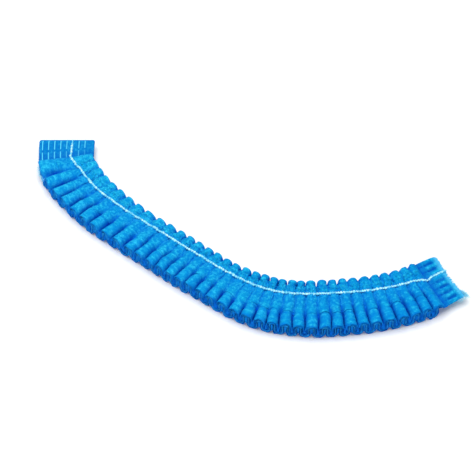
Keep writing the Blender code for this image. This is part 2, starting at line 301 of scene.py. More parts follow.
def bridgeFolds(points, hold, over, depth):
    # lifts the cloth out of the folds that it spans: over 1 spans the lower folds on top, over -1
    # the upper ones underneath. The spanning cloth is a row of shallow round backs that meet in
    # creases of that depth, and hold (folds by columns) is the share of the way that it goes there.
    half = np.clip((np.arange(len(points)) - firstMiddle) // blockSteps, 0, foldCount - 2)
    upper, lower = half + 1 - half % 2, half + half % 2
    near, far = (upper, lower) if over > 0 else (lower, upper)
    middles = firstMiddle + blockSteps * foldIndex
    path = pathLength(points)
    start, stop = path[middles][near], path[middles][far]
    t = np.clip(np.abs(path - start) / np.abs(stop - start), 0, 1)
    level = points[middles, :, 2]
    before, after = np.clip(foldIndex - 1, 0, None), np.clip(foldIndex + 1, None, foldCount - 1)
    crease = ((level[before] + level[after]) / 2 - over * depth)[far]
    cusp = 0.93
    drop = (1 - np.sqrt(1 - (cusp * t) ** 2)) / (1 - math.sqrt(1 - cusp**2))
    crest, valley = points[middles][near], points[middles][far]
    spanning = crest + (valley - crest) * t[..., None]
    spanning[..., 2] = crest[..., 2] + (crease - crest[..., 2]) * drop
    share = np.where((foldIndex > 1) & (foldIndex < foldCount - 2), 1.0, 0.0)[:, None] * hold
    return points + (spanning - points) * share[far][..., None]


def unit(vectors):
    return vectors / np.maximum(np.linalg.norm(vectors, axis=-1, keepdims=True), 1e-12)


def surfaceNormals(points):
    # the cross product of the two directions of a grid
    return unit(np.cross(np.gradient(points, axis=0), np.gradient(points, axis=1)))


def placeInScene(name, data):
    thing = bpy.data.objects.new(name, data)
    bpy.context.scene.collection.objects.link(thing)
    return thing


def newPiece(name, points, faces, material, attributes=None, sharpAngle=55):
    mesh = bpy.data.meshes.new(name)
    mesh.from_pydata(points.reshape(-1, 3).tolist(), [], faces)
    for key, values in (attributes or {}).items():
        vector = values.ndim > points.ndim - 1
        layer = mesh.attributes.new(key, "FLOAT_VECTOR" if vector else "FLOAT", "POINT")
        layer.data.foreach_set("vector" if vector else "value", values.astype(np.float32).ravel())
    mesh.materials.append(material)
    mesh.update()
    mesh.shade_smooth()
    mesh.set_sharp_from_angle(angle=math.radians(sharpAngle))
    piece = placeInScene(name, mesh)
    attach(piece, "root")
    print(name, "made,", len(faces), "faces")
    return piece


def tubeFaces(stations, around):
    # quads between closed loops of points, and one face over each end
    index = np.arange(stations * around).reshape(stations, around)
    ahead = np.roll(index, -1, axis=1)
    quads = np.stack((index[:-1], index[1:], ahead[1:], ahead[:-1]), axis=-1).reshape(-1, 4)
    return quads.tolist() + [index[0].tolist(), index[-1, ::-1].tolist()]


# The plies of the stack, and the cloth itself. Two real plies count as one here.
plies = {"count": 10, "thickness": 0.00014, "hem": -0.215, "back": 0.47, "spreadOver": 0.04, "blend": 0.6}
plies["spacing"] = (strip["stack"] - plies["thickness"]) / (plies["count"] - 1)


def plyLevel(ply):
    # offset of a ply from the middle of the stack, ply 1 on top
    return ((plies["count"] + 1) / 2 - ply) * plies["spacing"]


def spreadPlies(places):
    # in front of the hems two plies fewer lie in the stack, and the rest fill its height
    full, fewer = plies["count"] - 1, plies["count"] - 3
    return 1 + (full / fewer - 1) * ease((plies["hem"] - places) / plies["spreadOver"])


def run(ply, start, stop, count):
    # a stretch of one ply across the strip: places and offsets
    return np.linspace(start, stop, count), np.full(count, plyLevel(ply))


def hairpin(ply, nextPly, edge, count=7):
    # the half circle that joins two plies at the front edge (-1) or the back edge (1)
    angle = np.linspace(0, math.pi, count + 2)[1:-1]
    radius = abs(plyLevel(ply) - plyLevel(nextPly)) / 2
    middle = (plyLevel(ply) + plyLevel(nextPly)) / 2
    place = (plies["back"] if edge > 0 else -0.5) + edge * (np.sin(angle) - 1) * radius / strip["width"]
    return place, middle + (plyLevel(ply) - middle) * np.cos(angle)


def edgePlace(edge):
    # where a ply starts to turn into its fold
    return (plies["back"] if edge > 0 else -0.5) - edge * plies["spacing"] / 2 / strip["width"]


clothPaths = {
    "upper_hem_panel": (
        run(1, plies["hem"], edgePlace(1), 68), hairpin(1, 2, 1), run(2, edgePlace(1), 0.425, 4),
    ),
    "front_fold_panel": (
        run(3, -0.43, edgePlace(-1), 4), hairpin(3, 2, -1), run(2, edgePlace(-1), -0.2, 26),
        run(2, -0.15, 0.42, 9),
    ),
    "lower_hem_panel": (
        run(9, -0.425, edgePlace(1), 6), hairpin(9, 10, 1), run(10, edgePlace(1), plies["hem"], 24),
    ),
}
for place, first in (("upper", 3), ("middle", 5), ("lower", 7)):
    clothPaths[place + "_inner_folds"] = (
        run(first, -0.425, edgePlace(1), 6), hairpin(first, first + 1, 1, 4),
        run(first + 1, edgePlace(1), edgePlace(-1), 8), hairpin(first + 1, first + 2, -1, 5),
        run(first + 2, edgePlace(-1), -0.43, 3),
    )

# Share of painted highlight on some panels' fold tips along the front edge, and how far they stand out
# there.
frontEdge = {
    "upper_inner_folds": (0, -0.0001), "middle_inner_folds": (0.3, 0), "lower_inner_folds": (0, -0.0001),
    "lower_hem_panel": (0.1, 0),
}

# Where the outer plies span the gathers: from the front edge (-1) over the elastic (0) to the back
# edge (1), and the share of the depth that they keep.
span = {
    "from": (-1, -0.8, -0.62, -0.44, -0.22, 0, 0.48, 0.68, 0.88),
    "keep": (0.6, 0.8, 0.85, 0.62, 0.1, 0, 0.12, 0.5, 1),
    "under": 0.4,
    "crease": 0.0011,
    "fadeOver": 0.5,           # from the front edge, until the shift at each fold is full
    "backOver": 0.4,           # behind the elastic, until the back edge's own depth holds
}

# How far the panels' front and back edges stand out by chance, with the lengths of those waves along
# the strip and through the stack, and how the raw edge of a hem wanders and is pressed down, less so
# past the looser part's start (shares of the length).
edges = {
    "lift": 0.0003, "liftRun": 0.004, "liftPly": 0.0003, "backLift": 0.35, "from": 0.44, "evenEnd": 0.004,
    "hemOver": 0.05, "hemWander": 0.0007, "hemRun": 0.012, "hemPress": 0.5, "looser": 0.3,
    "looserFrom": 0.33, "looserOver": 0.12,
}
floorSquash = 0.0004           # height under which the cloth is pressed flat


def keptDepth(places):
    # the table's value, less where the back edge is drawn tight, and shifted a little at each fold
    distance = foldDistances()[:, None]
    elastic = elasticPlace(distance)
    away = (places - elastic) / np.where(places < elastic, 0.5 + elastic, 0.5 - elastic)
    flatten = sectionValue("flatten", distance / strip["length"])
    away = np.where(away < 0, -(np.abs(away) ** flatten), away)
    shifted = away + foldFade[:, None] * ease((away + 1) / span["fadeOver"])
    kept = np.interp(shifted, span["from"], span["keep"])
    back = ease(away / span["backOver"])
    return kept * (1 - back + back * sectionValue("backDepth", distance / strip["length"]))


def clothSurface(path, standOut=0.0):
    # a ply's own middle surface along one path of runs and hairpins across the strip
    places = np.concatenate([part[0] for part in path])
    offsets = np.concatenate([part[1] for part in path])
    wall = layWall(places)
    normal, across = wall[..., 3:6], wall[..., 6:9]
    spread = offsets * spreadPlies(places)
    points = squareEnds(wall[..., :3] + normal * (spread * wall[..., 9] / strip["stack"])[..., None])

    second, last = plyLevel(2), plyLevel(plies["count"])
    blend = plies["blend"] * plies["spacing"]
    top = ease((offsets - second) / blend + 1)
    under = ease((last + plies["spacing"] - offsets) / blend + 1)
    kept = keptDepth(places)
    points = bridgeFolds(points, (1 - kept) * top, 1, span["crease"])
    points = bridgeFolds(points, (1 - span["under"] * kept) * under, -1, span["crease"])

    path = pathLength(points)
    along = path.mean(axis=1, keepdims=True)
    taper = ease(np.minimum(along, along[-1] - along) / edges["evenEnd"] - 0.5)
    edge = ease((np.abs(places) - edges["from"]) / (0.5 - edges["from"]))
    reach = edges["lift"] * waves(along / edges["liftRun"], offsets / edges["liftPly"], 21) * edge * taper
    reach = reach * np.where(places < 0, 1, edges["backLift"])
    reach = reach + standOut * np.where(places < 0, edge, 0) * taper
    hemEdge = ease(1 - np.abs(places - plies["hem"]) / edges["hemOver"]) * (np.abs(offsets) > plyLevel(1.5))
    reach = reach + edges["hemWander"] * waves(along / edges["hemRun"], 0, 22) * hemEdge
    points = points + across * (np.sign(places) * reach)[..., None]
    looser = edges["looser"] * ease((along / along[-1] - edges["looserFrom"]) / edges["looserOver"])
    pressed = hemEdge * (edges["hemPress"] - looser) * plies["spacing"]
    points = points - normal * (np.sign(offsets) * pressed)[..., None]
    return points, places, offsets, along, taper


def acrossDistance(places, offsets):
    # distance along the path across the strip, in metres
    steps = np.hypot(np.diff(places) * strip["width"], np.diff(offsets))
    return np.concatenate(([0], np.cumsum(steps)))


def elasticLine(count):
    # how far across the strip the elastic lies at each station, in metres
    distance = np.interp(np.arange(count), firstMiddle + blockSteps * foldIndex, foldDistances())
    return elasticPlace(distance)[:, None] * strip["width"]


# Crinkles of the outer plies, a row for each kind: fine pleats beside the elastic, ridges square to
# the barrels, broad unevenness, and buckles behind the elastic. Depth, lengths of the waves along and
# across the strip, and how patchy they are, with the lengths of the patches.
crinkles = {
    "pleats": {"depth": 0.00042, "run": (0.0021, 0.009), "patchy": 0.45, "patch": (0.006, 0.004)},
    "ridges": {"depth": 0.00014, "run": (0.012, 0.00125), "patchy": 0.4, "patch": (0.003, 0.003)},
    "broad": {"depth": 0.00024, "run": (0.007, 0.005)},
    "buckles": {"depth": 0.00034, "run": (0.0017, 0.0015)},
}
drawnReach = 0.0042            # how far in front of the elastic and behind it the cloth is drawn in
buckled = {"from": -0.0015, "over": 0.003, "until": 0.013, "fade": 0.004}


def patches(kind, along, across, seed):
    # less and more of a kind in patches
    share, (patchLength, patchWidth) = crinkles[kind]["patchy"], crinkles[kind]["patch"]
    return 1 - share + share * waves(along / patchLength, across / patchWidth, seed)


def crinkleHeight(places, along, taper):
    # the sum of the four kinds, each where it belongs
    across = places * strip["width"]
    elastic = elasticLine(len(along))
    drawn = np.exp(-(((across - elastic) / drawnReach) ** 2))
    runs = {kind: (along / values["run"][0], across / values["run"][1]) for kind, values in crinkles.items()}
    behind = ease((across - elastic - buckled["from"]) / buckled["over"])
    behind = behind * ease((buckled["until"] - across) / buckled["fade"])
    heights = {
        "pleats": drawn * streaks(*runs["pleats"], 31) * patches("pleats", along, across, 32),
        "ridges": streaks(*runs["ridges"][::-1], 33) * patches("ridges", along, across, 34),
        "broad": waves(*runs["broad"], 35) * (0.4 + 0.6 * drawn),
        "buckles": waves(*runs["buckles"], 36) * behind,
    }
    return sum(crinkles[kind]["depth"] * height for kind, height in heights.items()) * taper


# What the colour follows: painted shade by depth below the crests, more or less of it by place across
# the strip, the stretch in front of the elastic where the cloth is drawn tight, and the tips of the folds.
shading = {
    "shadeReach": 0.0045, "shadePower": 0.8,
    "shadePlace": (-0.5, -0.4, -0.25, -0.18), "shadeShare": (0.75, 0.9, 1.25, 1),
    "tightFrom": 0.0015, "tightReach": 0.008, "tip": 0.0005,
}


def shadeBelowCrests(points, offsets):
    # painted shade: how far each point lies below the line of the crests, a share of the reach
    crests = firstMiddle + blockSteps * foldIndex[1::2]
    station = np.arange(len(points))
    near = np.clip(np.searchsorted(crests, station, side="right") - 1, 0, len(crests) - 2)
    t = np.clip((station - crests[near]) / (crests[near + 1] - crests[near]), 0, 1)[:, None]
    level = points[crests, :, 2] + plyLevel(1) - offsets
    line = level[near] * (1 - t) + level[near + 1] * t
    return np.clip((line - points[..., 2]) / shading["shadeReach"], 0, 1) ** shading["shadePower"]


def settle(points):
    # cloth near the floor is pressed flat: heights under the limit shrink towards it and keep their order
    pressed = floorSquash * np.exp(np.minimum(points[..., 2] - floorSquash, 0) / floorSquash)
    lift = floorSquash * math.exp(-(strip["press"] + floorSquash) / floorSquash)
    points[..., 2] = np.maximum(points[..., 2], pressed) - lift
    return points


def makeClothPanel(name, material):
    # the middle surface thickened: its outer side at full detail, its inner side with fewer columns
    edgeHighlight, standOut = frontEdge.get(name, (0, 0))
    points, places, offsets, along, taper = clothSurface(clothPaths[name], standOut)
    normal = surfaceNormals(points)
    detailed = name in ("upper_hem_panel", "front_fold_panel")
    if detailed:
        points = points + normal * crinkleHeight(places, along, taper)[..., None]
    half = plies["thickness"] / 2
    level = np.round(offsets / plies["spacing"] - 0.5) + 0.5
    bend = np.abs(offsets / plies["spacing"] - level)
    keep = np.flatnonzero((bend > 0.001) | (np.arange(len(places)) % (5 if detailed else 2) == 0))
    keep = np.union1d(keep, (0, len(places) - 1))
    inner = points - normal * (half + (crinkles["ridges"]["depth"] if detailed else 0))
    loop = np.concatenate((points + normal * half, inner[:, keep][:, ::-1]), axis=1)
    across = acrossDistance(places, offsets)
    ownPattern = 0.01 * len(name)
    spot = np.stack(np.broadcast_arrays(across, along, ownPattern), axis=-1)
    # the fold tips at both edges get painted shade, and along the front edge the table's share of it is a
    # painted highlight instead
    tip = ease(1 - (0.5 - np.abs(places)) * strip["width"] / shading["tip"])
    lit = np.where(places < 0, edgeHighlight, 0)
    fold = np.broadcast_to(tip * (1 - lit), points.shape[:2])
    lit = np.broadcast_to(tip * lit, points.shape[:2])
    shadeShare = np.interp(places, shading["shadePlace"], shading["shadeShare"])
    front = elasticLine(len(points)) - places * strip["width"]
    tight = ease(front / shading["tightFrom"] + 0.5) * ease(1.4 - front / shading["tightReach"])
    lengthShare = np.linspace(0, 1, len(points))[:, None] * np.ones_like(places)
    attributes = {
        "paintedShade": shadeBelowCrests(points, offsets) * shadeShare, "tight": tight, "lengthShare": lengthShare,
        "clothSpot": spot, "foldEdge": fold, "foldLit": lit,
    }
    for key, values in attributes.items():
        attributes[key] = np.concatenate((values, values[:, keep][:, ::-1]), axis=1)
    faces = tubeFaces(*loop.shape[:2])
    piece = newPiece(name, settle(loop), faces, material, attributes)
    return piece, across[-1], float(along[-1, 0])


def nodeGroup(name, inputs, outputs):
    group = bpy.data.node_groups.new(name, "ShaderNodeTree")
    for label, kind, value in inputs:
        socket = group.interface.new_socket(name=label, in_out="INPUT", socket_type=kind)
        if value is not None:
            socket.default_value = value
    for label, kind in outputs:
        group.interface.new_socket(name=label, in_out="OUTPUT", socket_type=kind)
    return group, group.nodes.new("NodeGroupInput"), group.nodes.new("NodeGroupOutput")


def feed(tree, socket, value):
    # another node's output is linked to the socket, a number or a colour is set on it
    if isinstance(value, bpy.types.NodeSocket):
        tree.links.new(value, socket)
    else:
        socket.default_value = (*value, 1) if isinstance(value, tuple) else value


def addMath(tree, operation, *values):
    node = tree.nodes.new("ShaderNodeMath")
    node.operation = operation
    for socket, value in zip(node.inputs, values):
        feed(tree, socket, value)
    return node.outputs[0]


def addNoise(tree, vector, scale, detail, roughness, distortion=0.0):
    node = tree.nodes.new("ShaderNodeTexNoise")
    names = ("Vector", "Scale", "Detail", "Roughness", "Distortion")
    for name, value in zip(names, (vector, scale, detail, roughness, distortion)):
        feed(tree, node.inputs[name], value)
    return node.outputs["Fac"]


def stretched(tree, vector, scale):
    node = tree.nodes.new("ShaderNodeMapping")
    tree.links.new(vector, node.inputs["Vector"])
    node.inputs["Scale"].default_value = scale
    return node.outputs["Vector"]


def buildFibreGroup():
    # spunbond cloth: matted fibres, bond points, cloudy density and fine ridges across each barrel
    group, given, result = nodeGroup(
        "spunbondFibres",
        (("Spot", "NodeSocketVector", None), ("Grain Scale", "NodeSocketFloat", 1500.0),
         ("Cloud Scale", "NodeSocketFloat", 520.0), ("Ridges", "NodeSocketFloat", 0.5)),
        (("Mottle", "NodeSocketFloat"), ("Height", "NodeSocketFloat")),
    )
    spot = given.outputs["Spot"]
    grain = addNoise(group, spot, given.outputs["Grain Scale"], 4, 0.62, 0.8)
    cloud = addNoise(group, spot, given.outputs["Cloud Scale"], 3, 0.55)
    ridge = addNoise(group, stretched(group, spot, (1, 0.14, 1)), 700, 2, 0.5)
    bonds = group.nodes.new("ShaderNodeTexVoronoi")
    bonds.inputs["Scale"].default_value = 1100
    bonds.inputs["Randomness"].default_value = 0.35
    group.links.new(spot, bonds.inputs["Vector"])
    bonded = addMath(group, "MULTIPLY", bonds.outputs["Distance"], 0.25)
    mixed = addMath(group, "MULTIPLY_ADD", grain, 0.4, addMath(group, "MULTIPLY", cloud, 0.35))
    mixed = addMath(group, "MULTIPLY_ADD", ridge, 0.25, mixed)
    ridged = addMath(group, "MULTIPLY", ridge, given.outputs["Ridges"])
    height = addMath(group, "ADD", addMath(group, "ADD", grain, bonded), ridged)
    group.links.new(mixed, result.inputs["Mottle"])
    group.links.new(height, result.inputs["Height"])
    return group


def addAttribute(tree, name, output):
    node = tree.nodes.new("ShaderNodeAttribute")
    node.attribute_name = name
    return node.outputs[output]


def addRamp(tree, value, stops):
    node = tree.nodes.new("ShaderNodeValToRGB")
    tree.links.new(value, node.inputs["Fac"])
    ramp = node.color_ramp
    for element, (place, colour) in zip(ramp.elements, (stops[0], stops[-1])):
        element.position = place
        element.color = (*colour, 1)
    for place, colour in stops[1:-1]:
        ramp.elements.new(place).color = (*colour, 1)
    return node.outputs["Color"]


def addMix(tree, share, first, second):
    node = tree.nodes.new("ShaderNodeMix")
    node.data_type = "RGBA"
    for name, value in (("Factor", share), ("A", first), ("B", second)):
        feed(tree, node.inputs[name], value)
    return node.outputs["Result"]


def tinted(tree, colour, name, share, tint):
    # the colour mixed with the tint, by a share of what the attribute says
    return addMix(tree, addMath(tree, "MULTIPLY", addAttribute(tree, name, "Fac"), share), colour, tint)


def startMaterial(name, settings):
    material = bpy.data.materials.new(name)
    material.use_nodes = True
    tree = material.node_tree
    shader = tree.nodes["Principled BSDF"]
    for key, value in settings.items():
        shader.inputs[key].default_value = value
    return material, tree, shader


def addBump(tree, shader, height, distance):
    node = tree.nodes.new("ShaderNodeBump")
    node.inputs["Distance"].default_value = distance
    tree.links.new(height, node.inputs["Height"])
    tree.links.new(node.outputs["Normal"], shader.inputs["Normal"])


clothLook = {
    "dark": (0.001, 0.222, 0.615),
    "middle": (0.003, 0.322, 0.645),
    "light": (0.030, 0.590, 0.850),
    # painted shade on the tips of the folds
    "fold": (0.001, 0.165, 0.650),
    # painted highlight on some fold tips along the front edge
    "lit": (0.060, 0.560, 0.860),
    # painted shade in the creases between the gathers
    "creaseShade": (0.001, 0.125, 0.700),
    # painted shade on the welded ends
    "pressed": (0.001, 0.105, 0.500),
    # the most painted shade that the cloth's creases and the welded ends take, a share
    "paintedShadeShare": 0.9,
    "speck": 1.3,              # how spotted the tight cloth is
    "speckScale": 620,
    "leftEndLight": 0.06,           # painted light: how much lighter the cloth is at the left end than at the right
    "evenLightAt": 0.45,        # share of the length at which it is neither
    "grainDepth": 0.00016,
    "tabRidges": 0.15,
}
clothStops = ((0.39, clothLook["dark"]), (0.5, clothLook["middle"]), (0.61, clothLook["light"]))

# Tints over the mottled cloth, one after another: attribute, share of it and colour. After the first come
# painted shade on the fold tips, painted shade in the creases and a painted highlight on some front fold
# tips.
clothTints = (
    ("tight", 0.6, clothLook["dark"]),
    ("foldEdge", 0.5, clothLook["fold"]),
    ("paintedShade", clothLook["paintedShadeShare"], clothLook["creaseShade"]),
    ("foldLit", 1, clothLook["lit"]),
)


def addFibres(tree, fibres):
    node = tree.nodes.new("ShaderNodeGroup")
    node.node_tree = fibres
    tree.links.new(addAttribute(tree, "clothSpot", "Vector"), node.inputs["Spot"])
    return node


def makeClothMaterial(fibres):
    material, tree, shader = startMaterial("blueSpunbond", {
        "Roughness": 0.9, "Specular IOR Level": 0.03, "Sheen Weight": 0.06, "Sheen Roughness": 0.5,
        "Sheen Tint": (0.05, 0.7, 1, 1),
    })
    cloth = addFibres(tree, fibres)
    tight = addAttribute(tree, "tight", "Fac")
    speck = addNoise(tree, addAttribute(tree, "clothSpot", "Vector"), clothLook["speckScale"], 3, 0.6)
    speck = addMath(tree, "MULTIPLY", addMath(tree, "SUBTRACT", speck, 0.5), tight)
    mottle = addMath(tree, "MULTIPLY_ADD", speck, clothLook["speck"], cloth.outputs["Mottle"])
    # painted light: the cloth is lighter towards the left end and darker towards the right
    leftLight = addMath(tree, "SUBTRACT", clothLook["evenLightAt"], addAttribute(tree, "lengthShare", "Fac"))
    mottle = addMath(tree, "MULTIPLY_ADD", leftLight, clothLook["leftEndLight"], mottle)
    colour = addRamp(tree, mottle, clothStops)
    for name, share, tint in clothTints:
        colour = tinted(tree, colour, name, share, tint)
    tree.links.new(colour, shader.inputs["Base Color"])
    addBump(tree, shader, cloth.outputs["Height"], clothLook["grainDepth"])
    return material


threadLook = {
    # the side colour is painted shade on the thread's flanks and underside
    "dark": (0.24, 0.80, 0.95), "light": (0.70, 0.98, 1.0), "side": (0.06, 0.62, 0.90),
    "dim": (0.08, 0.58, 0.86), "dimFrom": 0.48, "dimSlope": 6, "dimShare": 0.75, "grainDepth": 0.00008,
}


def makeThreadMaterial():
    material, tree, shader = startMaterial("whiteElastic", {
        "Roughness": 0.6, "Specular IOR Level": 0.35, "Sheen Weight": 0.2,
    })
    spot = addAttribute(tree, "clothSpot", "Vector")
    grain = addNoise(tree, spot, 900, 3, 0.6)
    stops = ((0.36, threadLook["dark"]), (0.56, threadLook["light"]))
    dimmed = addNoise(tree, stretched(tree, spot, (0.2, 1, 1)), 260, 2, 0.5)
    dimmed = addMath(tree, "SUBTRACT", dimmed, threadLook["dimFrom"])
    dimmed = addMath(tree, "MAXIMUM", addMath(tree, "MULTIPLY", dimmed, threadLook["dimSlope"]), 0)
    dimmed = addMath(tree, "MINIMUM", dimmed, threadLook["dimShare"])
    colour = addMix(tree, dimmed, addRamp(tree, grain, stops), threadLook["dim"])
    # the side tint is painted shade on the thread's flanks and underside, and also dims the thread where the
    # left end is welded over it
    tree.links.new(tinted(tree, colour, "side", 1, threadLook["side"]), shader.inputs["Base Color"])
    addBump(tree, shader, grain, threadLook["grainDepth"])
    return material


# The elastic threads: two strands twisted together, drawn over the gathers. They start and stop just
# inside the cut edges, lie on the cloth nearer than the value near, and are thin and dim where the
# left end is welded over them. Each kink has its place, width and reach.
thread = {
    "diameter": 0.0012, "step": 0.00017, "sides": 12, "start": 0.0004, "stop": 0.0012,
    "twist": 0.0030, "unevenTwist": 1.1, "lobe": 0.46, "bump": 0.3, "twistShade": 0.55,
    "wiggle": 0.0001, "sink": 0.0006, "smooth": 0.0024, "near": 0.0011, "places": (0.07, 0.26),
    "welded": 0.0045, "weldedThin": 0.3, "weldedDim": 0.9,
    "kinks": ((0.0134, 0.0014, -0.0004), (0.2364, 0.0026, -0.0012)),
}


def threadRoute(way):
    # along the elastic's line, on the tabs' skin and on the outermost cloth close to each point
    distance = np.arange(thread["start"], strip["length"] - thread["stop"], thread["step"])
    middle, side, _ = planFrame(distance)
    sideways = stripWidth(distance) * elasticPlace(distance)
    sideways = sideways + thread["wiggle"] * waves(distance / 0.0042, 0, 41 + way)
    for place, width, reach in thread["kinks"]:
        sideways = sideways + reach * np.exp(-(((distance - place) / width) ** 2))
    plan = middle + side * sideways[:, None]

    ply = 1 if way > 0 else plies["count"]
    cloth = clothSurface((run(ply, *thread["places"], 12),))[0].reshape(-1, 3)
    away = np.linalg.norm(plan[:, None] - cloth[:, :2], axis=-1)
    tabSkin = way * middleHeight + strip["tabThickness"] / 2 - plies["thickness"] / 2
    level = np.where(away < thread["near"], way * cloth[:, 2], tabSkin).max(axis=1)
    level = np.maximum(level, tabSkin) + plies["thickness"] / 2 + thread["diameter"] / 2 - thread["sink"]
    reach = int(thread["smooth"] / thread["step"])
    kernel = np.hanning(2 * reach + 1)
    level = np.convolve(np.pad(level, reach, mode="edge"), kernel / kernel.sum(), mode="valid")
    height = way * (level + 0.00005 * waves(distance / 0.0018, 0, 51 + way))
    return np.column_stack((plan, np.maximum(height, thread["diameter"] / 2)))


def makeThread(name, way, material):
    # the section of two joined strands turns along the route; its radius swells and shrinks in bumps
    route = threadRoute(way)
    tangent = unit(np.gradient(route, axis=0))
    side = unit(np.stack((tangent[:, 1], -tangent[:, 0], np.zeros(len(route))), axis=-1))
    up = np.cross(side, tangent)
    distance = thread["step"] * np.arange(len(route))[:, None]
    angle = np.linspace(0, 2 * math.pi, thread["sides"], endpoint=False)[None, :]
    phase = 2 * math.pi * distance / thread["twist"]
    phase = phase + thread["unevenTwist"] * waves(distance / 0.005, 0, 63 + way)
    turned = angle - phase
    welded = ease(1.3 - distance / thread["welded"])
    bump = 1 + thread["bump"] * waves(distance / 0.0011, angle / 2.5, 61 + way)
    lobe = 1 - thread["lobe"] + thread["lobe"] * np.abs(np.cos(turned))
    radius = thread["diameter"] / 2 * lobe * bump * (1 - thread["weldedThin"] * welded)
    sideways, upwards = np.cos(angle) * radius, np.sin(angle) * radius
    points = route[:, None] + side[:, None] * sideways[..., None] + up[:, None] * upwards[..., None]
    spot = np.stack(np.broadcast_arrays(turned * thread["diameter"] / 2, distance, 0.0), axis=-1)
    # painted shade: the flanks and underside are tinted darker than the top, more so in step with the twist,
    # and the thread is dimmed where the left end is welded over it
    twistShade = thread["twistShade"] * ease(1.3 * np.abs(np.sin(phase)) - 0.3)
    flankShadeAndWeldDim = np.maximum(ease(1.15 - 1.6 * way * np.sin(angle)), twistShade)
    flankShadeAndWeldDim = np.maximum(flankShadeAndWeldDim, thread["weldedDim"] * welded)
    faces = tubeFaces(*points.shape[:2])
    return newPiece(name, points, faces, material, {"clothSpot": spot, "side": flankShadeAndWeldDim}, 80)


# The welded ends: dashes pressed in two rows, in metres from the cut edge, how clear the nine dashes
# of each row are, from the front edge to the back, and the colours of the dashes and of the cut edge.
# the shade and inner values are shares of painted shade: over the whole welded end, and more towards the
# gathers
leftWeld = {
    "clear": ((0.95, 0.9, 0.95, 0.9, 0.75, 0, 0.8, 0.8, 0), (0.95, 0.85, 0.75, 0.85, 0.4, 0, 0.45, 0.2, 0)),
    "pitch": 0.00305, "width": 0.0005, "rows": ((0.0004, 0.0066), (0.0080, 0.0127)), "depth": 0.00025,
    "ragged": 0.00008, "thin": 0.3, "ridge": 0.00008, "cut": (-0.0005, 0), "inner": 0.75,
    "colour": (0.14, 0.86, 0.98), "edge": (0.01, 0.5, 0.9), "edgeShare": 0.1, "shade": 0.52,
}
rightWeld = {
    "clear": ((0.5, 1, 0.9, 1, 0.85, 0, 1, 1, 0.6), (0.3, 0.5, 0.8, 0.5, 0.4, 0, 0.7, 0.8, 0.3)),
    "pitch": 0.0037, "width": 0.0010, "rows": ((0.0046, 0.0094), (0.0102, 0.0138)), "depth": 0.00055,
    "ragged": 0.0004, "thin": 0.75, "ridge": 0.0003, "cut": (0.0007, 0.0011), "inner": 1.0,
    "colour": (0.001, 0.08, 0.5), "edge": (0.10, 0.55, 0.88), "edgeShare": 0.8, "shade": 0.1,
}
weldShare = 0.85
tab = {
    "rows": 84, "columns": 168, "crowding": 1.25, "overlap": 0.0008, "corner": 0.0018, "leastRim": 0.05,
    "raggedOver": 0.003, "thinOver": 0.004, "droop": 0.0003, "innerFrom": 0.006, "edgeOver": 0.0035,
    "puffs": ((0.00007, 0.0035), (0.00003, 0.001)),        # height and size
}


def cutBack(weld, place):
    # how far the cut edge lies behind a straight one: a constant and a hollow in its middle
    return weld["cut"][0] + weld["cut"][1] * (1 - 4 * place**2)


def dashMask(weld, across, inset, spread=1.0):
    # 1 inside a dash, falling smoothly to 0 outside it: distance from the nearest line of the pattern.
    # A larger spread gives the band around the dash too.
    column = np.round(across / weld["pitch"])
    beside = np.abs(across - column * weld["pitch"])
    mask = 0
    for (start, stop), clear in zip(weld["rows"], weld["clear"]):
        along = np.abs(inset - (start + stop) / 2) - (stop - start) / 2 + weld["width"] / 2
        away = np.hypot(beside, np.clip(along, 0, None))
        share = np.interp(column, np.arange(len(clear)) - len(clear) // 2, clear)
        mask = mask + share * ease(1.3 - away / (spread * weld["width"] / 2) * 0.9)
    return np.minimum(mask, 1)


